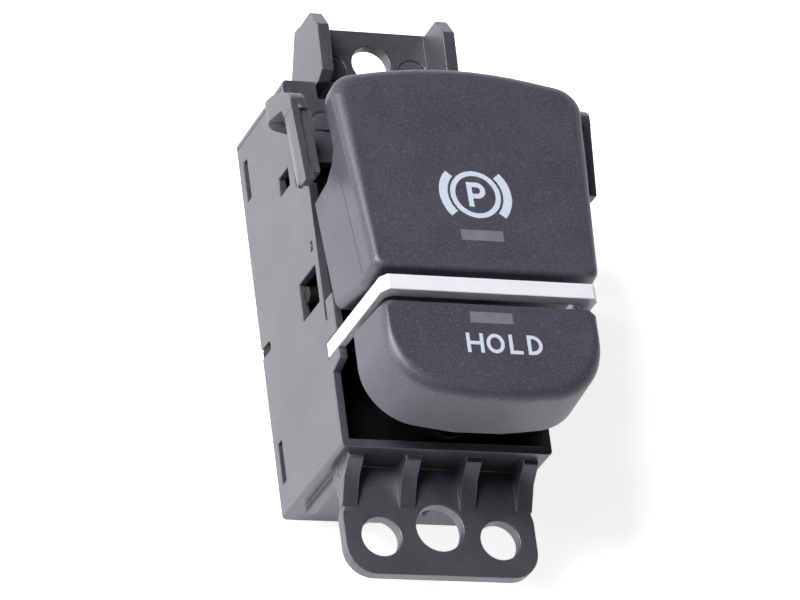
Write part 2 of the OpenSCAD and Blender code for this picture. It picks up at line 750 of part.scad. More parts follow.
module plunger(x, y, color_name) {
    color(color_name) from_near_end() {
        post(x, y, plunger_low, plunger_top - plunger_d / 5, plunger_d);
        translate([x, y, 0]) intersection() {
            translate([0, 0, plunger_top - plunger_d * 0.725]) sphere(d = plunger_d * 1.45);
            translate([0, 0, plunger_top - plunger_d / 5 - eps]) cylinder(d = plunger_d, h = plunger_d);
        }
    }
}

module pull_plunger() { plunger(-plunger_x, pull_y, "#e8e4da"); }
module press_plunger() { plunger(plunger_x, press_y, "#e8e4da"); }

module return_spring(x, y) {
    color("#a9adb3") from_near_end() translate([x, y, 0])
        coil(spring_d / 2 - spring_wire / 2, spring_wire, deck_z + deck_t, foot_z - 0.05, 4);
}

module pull_return_spring() { return_spring(-plunger_x, press_y); }
module press_return_spring() { return_spring(plunger_x, pull_y); }

// plan of the hold button; insets at the sides and at the near end, radius of its near corners
function hold_plan(side_in, near_in, r) = let (
    half = hold_w / 2 - side_in,
    near = hold_y0 + near_in,
    far = hold_y1 - side_in / 4,
    tip = 0.6 + side_in * 0.2
) concat(
    arc_points(half - r, near + hold_bow + r, r, 0, -84, 14),
    [[half * 0.22, near + 0.08], [-half * 0.22, near + 0.08]],
    arc_points(-half + r, near + hold_bow + r, r, -96, -180, 14),
    [[-half, far - tip], [-half + tip, far], [half - tip, far], [half, far - tip]]
);

// each layer of the hold button's outside: depth below its top, side inset and near inset
hold_layers = [[hold_h, 0, 0], [1.4, 0.3, 0.4], [0.85, 0.42, 0.65], [0.45, 0.6, 1], [0.2, 0.8, 1.35],
    [0.07, 1, 1.7], [0.02, 1.2, 2.05]];
dish_edge = [1.4, 2.7, 9.6];
dish_floor = [4.2, 5.2, 6.4];

module hold_layer(depth, side_in, near_in, r) {
    translate([face_x, 0, hold_top_z - depth]) linear_extrude(0.02) polygon(hold_plan(side_in, near_in, r));
}

module hold_button() {
    color("#4a4a50") from_near_end()
        difference() {
            hull() for (layer = hold_layers) hold_layer(layer[0], layer[1], layer[2], hold_r + layer[1] * 0.6);
            translate([face_x, 0, hold_low_z - 1]) linear_extrude(hold_h - cap_t + 1 - 0.6)
                polygon(hold_plan(cap_t + 0.3, cap_t + 0.3, hold_r + cap_t / 2));
            // shallow dish in the top
            hull() {
                hold_layer(-0.01, dish_edge[0], dish_edge[1], dish_edge[2]);
                hold_layer(hold_dish, dish_floor[0], dish_floor[1], dish_floor[2]);
            }
            light_window(hold_window_y, fit / 2, hold_low_z, hold_top_z + 1);
        }
}

module hold_stem() {
    roof_z = hold_top_z - cap_t - 0.6;
    color("#d8d4c8") from_near_end() {
        post(0, stem_y, stem_low_z, roof_z, stem_d);
        post(0, stem_y, stem_head_z, roof_z, stem_head_d);
        block(-9, 9, stem_y - 0.7, stem_y + 0.7, stem_head_z, roof_z);
    }
}

module hold_spring() {
    color("#a9adb3") from_near_end() translate([0, stem_y, 0])
        coil(stem_d / 2 + hold_wire, hold_wire, stem_tube_z, stem_head_z - 0.05, 6);
}

module hold_plunger() {
    color("#e8e4da") from_near_end() post(0, stem_y, plunger_low, stem_low_z - 0.05, plunger_d);
}

module hold_light_pipe() {
    color("#cfd4d8") from_near_end()
        light_pipe(hold_window_y, hold_top_z - hold_dish - 0.03, hold_top_z - cap_t - 0.7);
}

module light_shaft(y, top_z) {
    color("#f0f0ee") from_near_end() difference() {
        light_window(y, fit + shaft_t, board_top + mat_t + 0.05, top_z);
        light_window(y, fit, board_top, top_z + 1);
    }
}

module light_shaft_parking() { light_shaft(park_window_y, shaft_top_z); }
module light_shaft_hold() { light_shaft(hold_window_y, shaft_top_z - hold_travel); }

module dome_mat() {
    dome = [[0, 0], [dome_base_r, 0], [dome_base_r, mat_t], [dome_top_r, mat_t + dome_h], [0, mat_t + dome_h]];
    color("#6b6f75") from_near_end() {
        difference() {
            block(-mat_half, mat_half, stem_y - dome_base_r, press_y + mat_edge, board_top, board_top + mat_t);
            for (y = [park_window_y, hold_window_y]) light_window(y, 0.6, board_top - 1, board_top + 2);
            for (s = [-1, 1]) post(s * frame_foot[0], frame_foot[1], board_top - 1, board_top + 2, frame_foot_d + 1);
        }
        for (p = [[-plunger_x, pull_y], [plunger_x, press_y], [0, stem_y]])
            translate([p[0], p[1], board_top]) rotate_extrude() polygon(dome);
    }
}

module circuit_board() {
    color("#2f6b45") from_near_end()
        difference() {
            block(-in_half + board_gap, in_half - board_gap, wall + board_gap, house_l - end_wall - board_gap,
                board_z, board_top);
            for (x = pin_xs, y = pin_ys) post(x, y, board_z - 1, board_top + 1, pin_size * 1.7);
        }
}

module led(y) {
    color("#f4efc8") from_near_end() {
        block(face_x - 1.6, face_x + 1.6, y - 0.6, y + 0.6, board_top, board_top + 0.7);
        post(face_x, y, board_top + 0.7 - eps, board_top + 0.95, 1.1);
    }
}

module parking_led() { led(park_window_y); }
module hold_led() { led(hold_window_y); }

module controller_chip() {
    color("#202022") from_near_end() {
        translate([-chip[0] / 2, chip_y - chip[1] / 2, board_top + chip_lift]) cube(chip);
        for (side = [0, 1], i = [0:chip_legs - 1]) mirror([side, 0, 0])
            translate([chip[0] / 2 - 0.1, chip_y + (i - (chip_legs - 1) / 2) * chip_pitch - chip_leg[1] / 2, board_top])
                cube(chip_leg);
    }
}

module capacitors() {
    color("#b89a6a") from_near_end()
        for (x = [-capacitor_x, capacitor_x], y = capacitor_ys)
            translate([x - capacitor[0] / 2, y - capacitor[1] / 2, board_top]) cube(capacitor);
}

pin_xs = [for (i = [0:contacts - 1]) (i - (contacts - 1) / 2) * pin_pitch];
pin_ys = [socket_y - pin_pitch / 2, socket_y + pin_pitch / 2];

module connector_header() {
    color("#1f1f21") from_near_end()
        difference() {
            block(-socket_l / 2 - socket_t, socket_l / 2 + socket_t, socket_y - socket_w / 2 - socket_t,
                socket_y + socket_w / 2 + socket_t, 0, board_z);
            block(-socket_l / 2, socket_l / 2, socket_y - socket_w / 2, socket_y + socket_w / 2, -1, socket_depth);
            block(-1.5, 1.5, socket_y + socket_w / 2 - eps, socket_y + socket_w / 2 + 0.7, -1, 4);
            for (x = pin_xs, y = pin_ys)
                block(x - pin_size / 2 - 0.02, x + pin_size / 2 + 0.02, y - pin_size / 2 - 0.02,
                    y + pin_size / 2 + 0.02, socket_depth - 1, board_z + 1);
        }
}

module connector_pins() {
    color("#d8c27a") from_near_end()
        for (x = pin_xs, y = pin_ys)
            block(x - pin_size / 2, x + pin_size / 2, y - pin_size / 2, y + pin_size / 2, pin_low_z, board_top + 1);
}

housing();
rear_cover();
inner_frame();
trim_strip();
parking_button();
parking_lever();
parking_light_pipe();
pivot_pin_left();
pivot_pin_right();
pull_plunger();
press_plunger();
pull_return_spring();
press_return_spring();
hold_button();
hold_stem();
hold_light_pipe();
hold_spring();
hold_plunger();
dome_mat();
circuit_board();
parking_led();
hold_led();
light_shaft_parking();
light_shaft_hold();
controller_chip();
capacitors();
connector_header();
connector_pins();
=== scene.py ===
import json
import math

import bmesh
import bpy
from mathutils import Matrix, Vector


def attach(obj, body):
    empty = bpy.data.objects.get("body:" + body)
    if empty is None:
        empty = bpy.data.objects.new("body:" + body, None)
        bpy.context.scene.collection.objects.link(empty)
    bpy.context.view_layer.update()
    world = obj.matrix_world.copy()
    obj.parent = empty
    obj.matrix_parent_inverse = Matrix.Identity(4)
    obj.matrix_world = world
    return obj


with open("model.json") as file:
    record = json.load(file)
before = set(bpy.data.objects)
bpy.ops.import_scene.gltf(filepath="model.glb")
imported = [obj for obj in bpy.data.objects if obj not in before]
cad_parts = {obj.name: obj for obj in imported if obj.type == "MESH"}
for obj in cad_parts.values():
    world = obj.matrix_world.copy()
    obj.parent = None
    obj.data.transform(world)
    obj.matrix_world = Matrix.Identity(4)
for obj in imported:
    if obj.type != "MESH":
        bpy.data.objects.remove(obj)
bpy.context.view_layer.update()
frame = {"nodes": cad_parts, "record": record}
nodes = frame["nodes"]
mm = 0.001
print("frame loaded:", len(nodes), "nodes")

# camera, turned and rolled as for the photograph; lengths in mm
cameraView = {
    "target": (-7.70, -10.80, 32.10),
    "distance": 795.0,
    "azimuth": -40.72,
    "elevation": 56.03,
    "roll": 38.43,
    "lens": 272.1,
    "filmWidth": 36,
    "clipStart": 10.0,
}


def makeCamera(view):
    azimuth = math.radians(view["azimuth"])
    elevation = math.radians(view["elevation"])
    roll = math.radians(view["roll"])
    back = Vector((
        math.sin(azimuth) * math.cos(elevation),
        -math.cos(azimuth) * math.cos(elevation),
        math.sin(elevation),
    ))
    right = Vector((math.cos(azimuth), math.sin(azimuth), 0))
    up = back.cross(right)
    rolledRight = right * math.cos(roll) + up * math.sin(roll)
    rolledUp = back.cross(rolledRight)
    data = bpy.data.cameras.new("photoCamera")
    data.lens = view["lens"]
    data.sensor_width = view["filmWidth"]
    data.clip_start = view["clipStart"] * mm
    camera = bpy.data.objects.new("photoCamera", data)
    bpy.context.scene.collection.objects.link(camera)
    place = (Vector(view["target"]) + back * view["distance"]) * mm
    turn = Matrix((rolledRight, rolledUp, back)).transposed().to_4x4()
    camera.matrix_world = Matrix.Translation(place) @ turn
    bpy.context.scene.camera = camera


makeCamera(cameraView)
print("camera placed")


# small helpers for the node graphs
def startMaterial(name):
    material = bpy.data.materials.new(name)
    material.use_nodes = True
    tree = material.node_tree
    tree.nodes.clear()
    output = tree.nodes.new("ShaderNodeOutputMaterial")
    shader = tree.nodes.new("ShaderNodeBsdfPrincipled")
    tree.links.new(shader.outputs["BSDF"], output.inputs["Surface"])
    coords = tree.nodes.new("ShaderNodeTexCoord")
    return material, tree, shader, coords.outputs["Object"]


def addNoise(tree, coords, grainMm, detail=3.0, rough=0.55):
    noise = tree.nodes.new("ShaderNodeTexNoise")
    noise.inputs["Scale"].default_value = 1 / (grainMm * mm)
    noise.inputs["Detail"].default_value = detail
    noise.inputs["Roughness"].default_value = rough
    tree.links.new(coords, noise.inputs["Vector"])
    return noise.outputs["Fac"]


def addRange(tree, source, low, high, toLow, toHigh):
    step = tree.nodes.new("ShaderNodeMapRange")
    limits = {"From Min": low, "From Max": high, "To Min": toLow, "To Max": toHigh}
    for socket, value in limits.items():
        step.inputs[socket].default_value = value
    tree.links.new(source, step.inputs["Value"])
    return step.outputs["Result"]


def addMix(tree, factor, colorA, colorB):
    mix = tree.nodes.new("ShaderNodeMix")
    mix.data_type = "RGBA"
    tree.links.new(factor, mix.inputs["Factor"])
    for socket, color in ((mix.inputs[6], colorA), (mix.inputs[7], colorB)):
        if isinstance(color, tuple):
            socket.default_value = (*color, 1)
        else:
            tree.links.new(color, socket)
    return mix.outputs[2]


def addBump(tree, shader, height, strength, depthMm):
    bump = tree.nodes.new("ShaderNodeBump")
    bump.inputs["Strength"].default_value = strength
    bump.inputs["Distance"].default_value = depthMm * mm
    tree.links.new(height, bump.inputs["Height"])
    tree.links.new(bump.outputs["Normal"], shader.inputs["Normal"])


# parts of a noise's range that show as clouds, colour drift and specks
cloudRange = (0.3, 0.7)
driftRange = (0.35, 0.65)
speckRange = (0.5, 0.72)
speckToGrain = 1.7
glossDrift = 0.04


# moulded plastics: colour, how far it drifts, specks, gloss, grain size and depth in mm
def mouldedPlastic(name, look):
    material, tree, shader, coords = startMaterial(name)
    drift = addNoise(tree, coords, look["driftMm"])
    speck = addNoise(tree, coords, look["grainMm"] * speckToGrain, detail=2)
    base = look["color"]
    light = tuple(c * (1 + look["drift"]) for c in base)
    dark = tuple(c * (1 - look["drift"]) for c in base)
    clouds = addMix(tree, addRange(tree, drift, *driftRange, 0, 1), dark, light)
    speckShare = addRange(tree, speck, *speckRange, 0, look["specks"])
    specks = addMix(tree, speckShare, clouds, look["speckColor"])
    tree.links.new(specks, shader.inputs["Base Color"])
    rough = look["roughness"]
    gloss = addRange(tree, drift, *cloudRange, rough - glossDrift, rough + glossDrift)
    tree.links.new(gloss, shader.inputs["Roughness"])
    shader.inputs["IOR"].default_value = look["ior"]
    shader.inputs["Specular Tint"].default_value = (*look["shine"], 1)
    grain = addNoise(tree, coords, look["grainMm"], detail=2)
    addBump(tree, shader, grain, look["grain"], look["grainDepthMm"])
    return material


housingLook = {
    "color": (0.047, 0.043, 0.055),
    "drift": 0.06,
    "driftMm": 9.0,
    "specks": 0.6,
    "speckColor": (0.095, 0.09, 0.105),
    "roughness": 0.42,
    "ior": 2.0,
    "shine": (0.97, 0.94, 1.0),
    "grainMm": 0.2,
    "grain": 0.6,
    "grainDepthMm": 0.02,
}
buttonLook = {
    "color": (0.049, 0.044, 0.066),
    "drift": 0.05,
    "driftMm": 7.0,
    "specks": 0.7,
    "speckColor": (0.11, 0.104, 0.13),
    "roughness": 0.48,
    "ior": 1.8,
    "shine": (0.95, 0.93, 1.0),
    "grainMm": 0.18,
    "grain": 0.6,
    "grainDepthMm": 0.014,
}
# black plastic of the frame and other inner pieces, its colour set far darker than the housing's:
# partly painted shade of the well they sit in
innerPlasticAndShadeLook = {
    "color": (0.004, 0.004, 0.0045),
    "drift": 0.08,
    "driftMm": 6.0,
    "specks": 0.2,
    "speckColor": (0.01, 0.01, 0.011),
    "roughness": 0.45,
    "ior": 1.22,
    "shine": (1.0, 1.0, 1.0),
    "grainMm": 0.3,
    "grain": 0.15,
    "grainDepthMm": 0.01,
}


def variant(look, **changes):
    return {**look, **changes}


coverLook = variant(innerPlasticAndShadeLook, color=(0.007, 0.007, 0.008), roughness=0.5)
# lever pieces in near-black: painted shade where they show in the well under the buttons
leverPlasticAndShadeLook = variant(innerPlasticAndShadeLook, color=(0.006, 0.006, 0.007), roughness=0.4)
shaftLook = variant(innerPlasticAndShadeLook, color=(0.62, 0.62, 0.6), speckColor=(0.7, 0.7, 0.68))
chipLook = variant(innerPlasticAndShadeLook, color=(0.02, 0.02, 0.021), roughness=0.5)
ceramicLook = variant(innerPlasticAndShadeLook, color=(0.36, 0.24, 0.13), speckColor=(0.5, 0.36, 0.2))
matLook = variant(
    innerPlasticAndShadeLook, color=(0.16, 0.165, 0.175), speckColor=(0.2, 0.2, 0.21), roughness=0.55
)


# plated or drawn metal, and the trim's painted reflection: fine streaks in its gloss
def metalFinish(name, look):
    material, tree, shader, coords = startMaterial(name)
    cloud = addNoise(tree, coords, look["cloudMm"])
    fine = addNoise(tree, coords, look["fineMm"], detail=2)
    color = addMix(tree, addRange(tree, cloud, *cloudRange, 0, 1), look["color"], look["tint"])
    tree.links.new(color, shader.inputs["Base Color"])
    gloss = addRange(tree, fine, *cloudRange, *look["glossRange"])
    tree.links.new(gloss, shader.inputs["Roughness"])
    shader.inputs["Metallic"].default_value = look["metallic"]
    addBump(tree, shader, fine, look["grain"], look["grainDepthMm"])
    return material


# bright trim: near-white colour with little metal, so the strip looks white from every side:
# painted reflection of the pale room in the plated strip
trimPaintedReflectionLook = {
    "color": (0.88, 0.86, 0.92),
    "tint": (0.84, 0.82, 0.89),
    "cloudMm": 5.0,
    "fineMm": 0.2,
    "glossRange": (0.31, 0.39),
    "metallic": 0.08,
    "grain": 0.05,
    "grainDepthMm": 0.004,
}
steelLook = variant(
    trimPaintedReflectionLook, color=(0.5, 0.5, 0.52), tint=(0.4, 0.4, 0.42), metallic=1.0, glossRange=(0.23, 0.31)
)
contactLook = variant(steelLook, color=(0.78, 0.62, 0.3), tint=(0.7, 0.55, 0.26))


# light windows and printed marks: an even, faintly clouded body
def lightWindow(name, look):
    material, tree, shader, coords = startMaterial(name)
    cloud = addNoise(tree, coords, look["cloudMm"])
    color = addMix(tree, addRange(tree, cloud, *cloudRange, 0, 1), look["color"], look["tint"])
    tree.links.new(color, shader.inputs["Base Color"])
    shader.inputs["Roughness"].default_value = look["roughness"]
    fine = addNoise(tree, coords, look["fineMm"])
    addBump(tree, shader, fine, look["grain"], look["grainDepthMm"])
    return material


windowLook = {
    "color": (0.165, 0.16, 0.185),
    "tint": (0.2, 0.195, 0.22),
    "cloudMm": 1.5,
    "fineMm": 0.2,
    "roughness": 0.35,
    "grain": 0.1,
    "grainDepthMm": 0.01,
}
ledLook = variant(windowLook, color=(0.8, 0.72, 0.35), tint=(0.85, 0.8, 0.5))
printLook = variant(windowLook, color=(0.56, 0.63, 0.72), tint=(0.6, 0.67, 0.75), roughness=0.5)


# solder mask with a hint of its tracks
def boardFinish(name, look):
    material, tree, shader, coords = startMaterial(name)
    tracks = tree.nodes.new("ShaderNodeTexBrick")
    tracks.inputs["Scale"].default_value = 1 / (look["trackMm"] * mm)
    tracks.inputs["Mortar Size"].default_value = look["trackShare"]
    tracks.inputs["Color1"].default_value = (*look["color"], 1)
    tracks.inputs["Color2"].default_value = (*look["color"], 1)
    tracks.inputs["Mortar"].default_value = (*look["trackColor"], 1)
    tree.links.new(coords, tracks.inputs["Vector"])
    tree.links.new(tracks.outputs["Color"], shader.inputs["Base Color"])
    shader.inputs["Roughness"].default_value = look["roughness"]
    fine = addNoise(tree, coords, look["fineMm"])
    addBump(tree, shader, fine, look["grain"], look["grainDepthMm"])
    return material


boardLook = {
    "color": (0.012, 0.09, 0.035),
    "trackColor": (0.03, 0.16, 0.07),
    "trackMm": 4.0,
    "trackShare": 0.04,
    "fineMm": 0.4,
    "roughness": 0.3,
    "grain": 0.1,
    "grainDepthMm": 0.01,
}

finishes = {
    "housing_plastic": mouldedPlastic("housingPlastic", housingLook),
    "cover_plastic": mouldedPlastic("coverPlastic", coverLook),
    "frame_plastic": mouldedPlastic("framePlasticAndShade", innerPlasticAndShadeLook),
    "button_plastic": mouldedPlastic("buttonLacquer", buttonLook),
    "lever_plastic": mouldedPlastic("leverPlasticAndShade", leverPlasticAndShadeLook),
    "white_plastic": mouldedPlastic("reflectorPlastic", shaftLook),
    "chip_plastic": mouldedPlastic("chipResin", chipLook),
    "ceramic": mouldedPlastic("capacitorCeramic", ceramicLook),
    "silicone": mouldedPlastic("matSilicone", matLook),
    "bright_trim": metalFinish("trimPaintedReflection", trimPaintedReflectionLook),
    "steel": metalFinish("springSteel", steelLook),
    "contact_metal": metalFinish("contactMetal", contactLook),
    "clear_plastic": lightWindow("windowPlastic", windowLook),
    "led_lens": lightWindow("ledResin", ledLook),
    "board": boardFinish("boardMask", boardLook),
}
printInk = lightWindow("printInk", printLook)
print("materials made:", len(finishes) + 1)

# soft edges on the moulded pieces; widths in mm
edgeSoftening = {
    "housing": 0.14,
    "rear_cover": 0.1,
    "inner_frame": 0.1,
    "trim_strip": 0.16,
    "parking_lever": 0.12,
    "connector_header": 0.12,
}
# edges between these turns are softened; beside a short edge, to a share of its length
steepTurn = math.radians(30)
knifeTurn = math.radians(130)
shortShare = 0.45
sameLine = 0.8
spotStep = 1e-7


# how much of the softening each edge takes: less beside a short edge, none on a knife edge;
# the solids come with their faces apart, so edges are matched by the place of their ends
def shareSoftening(piece, width):
    mesh = piece.data
    spots = [tuple(round(c / spotStep) for c in vertex.co) for vertex in mesh.vertices]
    normals = {}
    for polygon in mesh.polygons:
        for first, second in polygon.edge_keys:
            normals.setdefault(frozenset((spots[first], spots[second])), []).append(polygon.normal)
    steep = {}
    for key, found in normals.items():
        turn = found[0].angle(found[1], 0) if len(found) == 2 else 0
        if turn > steepTurn and len(key) == 2:
            steep[key] = turn
    meeting = {}
    for key in steep:
        for spot in key:
            meeting.setdefault(spot, []).append(key)

    def run(key, spot):
        (other,) = key - {spot}
        return (Vector(other) - Vector(spot)) * spotStep

    shares = {}
    for key, turn in steep.items():
        room = width
        for spot in key:
            along = run(key, spot)
            for beside in meeting[spot]:
                reach = run(beside, spot)
                alike = abs(along.normalized().dot(reach.normalized()))
                if beside != key and alike < sameLine:
                    room = min(room, shortShare * reach.length)
        shares[key] = 0 if turn > knifeTurn else room / width
    weights = mesh.attributes.new("bevel_weight_edge", "FLOAT", "EDGE")
    for edge in mesh.edges:
        first, second = edge.vertices
        weights.data[edge.index].value = shares.get(frozenset((spots[first], spots[second])), 0)


# marks edges steeper than the given angle as sharp, after the weld
def makeSharpener(degrees):
    group = bpy.data.node_groups.new("sharpByAngle", "GeometryNodeTree")
    for side in ("INPUT", "OUTPUT"):
        group.interface.new_socket("Geometry", in_out=side, socket_type="NodeSocketGeometry")
    given = group.nodes.new("NodeGroupInput")
    result = group.nodes.new("NodeGroupOutput")
    turn = group.nodes.new("GeometryNodeInputMeshEdgeAngle")
    steep = group.nodes.new("FunctionNodeCompare")
    steep.data_type = "FLOAT"
    steep.operation = "GREATER_THAN"
    steep.inputs["B"].default_value = math.radians(degrees)
    shade = group.nodes.new("GeometryNodeSetShadeSmooth")
    shade.domain = "EDGE"
    shade.inputs["Shade Smooth"].default_value = False
    group.links.new(given.outputs[0], shade.inputs[0])
    group.links.new(turn.outputs["Unsigned Angle"], steep.inputs["A"])
    group.links.new(steep.outputs["Result"], shade.inputs["Selection"])
    group.links.new(shade.outputs[0], result.inputs[0])
    return group


plainSharpener = makeSharpener(32)
softSharpener = makeSharpener(65)
# widest gap that is welded, in mm, and the turn up to which faces count as one
weldWidth = 0.002
flatTurn = math.radians(0.8)


def dressNode(name, slotName):
    piece = nodes[name]
    piece.data.materials.clear()
    piece.data.materials.append(finishes[slotName])
    weld = piece.modifiers.new("weld", "WELD")
    weld.merge_threshold = weldWidth * mm
    if name != "housing":
        flat = piece.modifiers.new("flat", "DECIMATE")
        flat.decimate_type = "DISSOLVE"
        flat.angle_limit = flatTurn
    if name in edgeSoftening:
        shareSoftening(piece, edgeSoftening[name] * mm)
        soft = piece.modifiers.new("soft", "BEVEL")
        soft.width = edgeSoftening[name] * mm
        soft.segments = 2
        soft.limit_method = "WEIGHT"
        soft.use_clamp_overlap = False
        soft.loop_slide = False
    crisp = piece.modifiers.new("crisp", "NODES")
    crisp.node_group = softSharpener if name in edgeSoftening else plainSharpener
    even = piece.modifiers.new("even", "WEIGHTED_NORMAL")
    even.mode = "FACE_AREA"
    even.weight = 80
    even.keep_sharp = True
    for polygon in piece.data.polygons:
        polygon.use_smooth = True


for row in frame["record"]["subparts"]:
    dressNode(row["node"], row["material_slot"])
print("nodes dressed")

# printed marks and windows on the buttons; lengths in mm, y from the housing's near end face
prints = {
    "thickness": 0.02,
    "gap": 0.004,
    "middleX": 0.5,
    "signY": 28.4,
    "ringRadius": 3.2,
    "ringWidth": 0.72,
    "letterP": 3.7,
    "stemX": -0.75,
    "bowlX": 0.25,
    "bowlFoot": -0.12,
    "bowlSteps": 12,
    "bracketRadius": 4.52,
    "bracketWidth": 1.2,
    "bracketSpan": 84.0,
    "bracketSteps": 18,
    "letterHeight": 2.8,
    "letterWidth": 0.5,
    "wordY": 6.9,
    "wordX": 2.0,
    "wordSpan": 11.4,
    "letterReach": 0.33,
    "roundSquash": 0.88,
    "bowSquash": 1.05,
    "roundSteps": 32,
    "bowSteps": 16,
    "windowGrow": 0.09,
    "faceDepth": 0.5,
    "steps": 48,
}
nearEndY = -28.4


def arcLine(cx, cy, radius, start, end, steps, squash=1.0):
    turns = [math.radians(start + (end - start) * i / steps) for i in range(steps + 1)]
    return [(cx + radius * squash * math.cos(a), cy + radius * math.sin(a)) for a in turns]


# keeps the mitre of a tight bend short
mitreFloor = 0.3


# left and right edges of a stroke with mitred bends
def strokeEdges(line, width, closed):
    count = len(line)
    left, right = [], []
    for i, (x, y) in enumerate(line):
        before = line[i - 1] if i > 0 or closed else line[i]
        after = line[(i + 1) % count] if i < count - 1 or closed else line[i]
        inward = Vector((x - before[0], y - before[1]))
        outward = Vector((after[0] - x, after[1] - y))
        if inward.length == 0:
            inward = outward
        if outward.length == 0:
            outward = inward
        inward.normalize()
        outward.normalize()
        along = (inward + outward).normalized()
        reach = width / 2 / max(mitreFloor, along.dot(outward))
        side = Vector((-along.y, along.x)) * reach
        left.append((x + side.x, y + side.y))
        right.append((x - side.x, y - side.y))
    return left, right


# where a ray meets a node's mesh; start and place in m
def castRay(nodeName, start, aim):
    piece = nodes[nodeName]
    back = piece.matrix_world.inverted()
    hit, place = piece.ray_cast(back @ start, back.to_3x3() @ Vector(aim))[:2]
    return hit, piece.matrix_world @ place


# how each button's face rises, from two heights found on its mesh; lengths in mm
facePoints = {
    "above": 100.0,
    "x": 6.0,
    "parking_button": (21, 34),
    "hold_button": (6, 9),
}


def slopeOf(nodeName, look):
    ys = [nearEndY + y for y in look[nodeName]]
    heights = []
    for y in ys:
        hit, place = castRay(nodeName, Vector((look["x"], y, look["above"])) * mm, (0, 0, -1))
        heights.append(place.z / mm if hit else 0.0)
    (yA, yB), (zA, zB) = ys, heights
    return lambda y: zA + (zB - zA) * (y - yA) / (yB - yA)


faceSlope = {name: slopeOf(name, facePoints) for name in ("parking_button", "hold_button")}
print("faces measured:", len(faceSlope))


def makePiece(name, mesh, finish):
    bmesh.ops.recalc_face_normals(mesh, faces=mesh.faces[:])
    data = bpy.data.meshes.new(name)
    mesh.to_mesh(data)
    mesh.free()
    data.materials.append(finish)
    piece = bpy.data.objects.new(name, data)
    bpy.context.scene.collection.objects.link(piece)
    return piece


# a thin printed mark; each stroke is a line, its width and whether it is closed
def addPrint(name, nodeName, body, strokes, centre, finish, slotName):
    cx, cy = centre
    lift = prints["gap"]
    mesh = bmesh.new()
    for line, width, closed in strokes:
        left, right = strokeEdges(line, width, closed)
        rows = []
        for (lx, ly), (rx, ry) in zip(left, right):
            pair = []
            for px, py in ((lx, ly), (rx, ry)):
                z = faceSlope[nodeName](cy + py) + lift
                pair.append([
                    mesh.verts.new(((cx + px) * mm, (cy + py) * mm, (z + up) * mm))
                    for up in (prints["thickness"], 0)
                ])
            rows.append(pair)
        turns = len(rows) if closed else len(rows) - 1
        for i in range(turns):
            (la, lb), (ra, rb) = rows[i]
            (lc, ld), (rc, rd) = rows[(i + 1) % len(rows)]
            top, under = (la, ra, rc, lc), (lb, ld, rd, rb)
            for corners in (top, under, (la, lc, ld, lb), (ra, rb, rd, rc)):
                mesh.faces.new(corners)
        if not closed:
            for (la, lb), (ra, rb) in (rows[0], rows[-1]):
                mesh.faces.new((la, lb, rb, ra))
    piece = makePiece(name, mesh, finish)
    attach(piece, body)


def parkingSign(look):
    ring = arcLine(0, 0, look["ringRadius"], 0, 360, look["steps"])[:-1]
    half = look["bracketSpan"] / 2
    strokes = [(ring, look["ringWidth"], True)]
    for middle in (0, 180):
        start, end = middle - half, middle + half
        bracket = arcLine(0, 0, look["bracketRadius"], start, end, look["bracketSteps"])
        strokes.append((bracket, look["bracketWidth"], False))
    tall = look["letterP"] / 2
    stem = look["ringWidth"]
    left = look["stemX"]
    top = tall - stem / 2
    foot = look["bowlFoot"] * tall
    strokes.append(([(left, -tall), (left, tall)], stem, False))
    inner = left + stem / 2
    bowl = arcLine(look["bowlX"], (top + foot) / 2, (top - foot) / 2, 90, -90, look["bowlSteps"])
    loop = [(inner, top)] + bowl + [(inner, foot)]
    strokes.append((loop, stem, False))
    return strokes


def holdWord(look):
    tall = look["letterHeight"] / 2
    width = look["letterWidth"]
    cell = look["wordSpan"] / 4
    reach = cell * look["letterReach"]
    rim = tall - width / 2
    centres = [cell * (i - 1.5) for i in range(4)]
    strokes = []
    h, o, l, d = centres
    for side in (-1, 1):
        strokes.append(([(h + side * reach, -tall), (h + side * reach, tall)], width, False))
    strokes.append(([(h - reach + width / 2, 0), (h + reach - width / 2, 0)], width, False))
    ring = arcLine(o, 0, rim, 0, 360, look["roundSteps"], squash=look["roundSquash"])[:-1]
    strokes.append((ring, width, True))
    stemL = l - reach * 0.7
    strokes.append(([(stemL, tall), (stemL, -rim), (l + reach, -rim)], width, False))
    strokes.append(([(d - reach, -tall), (d - reach, tall)], width, False))
    bowX = d - reach + width * 0.8
    bow = arcLine(bowX, 0, rim, 90, -90, look["bowSteps"], squash=look["bowSquash"])
    inner = d - reach + width / 2
    strokes.append(([(inner, rim)] + bow + [(inner, -rim)], width, False))
    return strokes


def windowPlate(pipeName):
    corners = [nodes[pipeName].matrix_world @ v.co for v in nodes[pipeName].data.vertices]
    top = max(c.z for c in corners)
    face = [c for c in corners if c.z > top - prints["faceDepth"] * mm]
    xs = [c.x / mm for c in face]
    ys = [c.y / mm for c in face]
    wide = (max(xs) - min(xs)) / 2 + prints["windowGrow"]
    deep = max(ys) - min(ys) + 2 * prints["windowGrow"]
    middle = ((max(xs) + min(xs)) / 2, (max(ys) + min(ys)) / 2)
    return [([(-wide, 0), (wide, 0)], deep, False)], middle


# moulding step along the parking button's sides, drawn as a thin near-black strip: painted shade
# of the step's line; lengths in mm
partingShade = {
    "from": 17.6,
    "to": 31.5,
    "below": 3.9,
    "width": 0.1,
    "proud": 0.006,
    "sunk": 0.03,
    "steps": 14,
    "beside": 60,
}


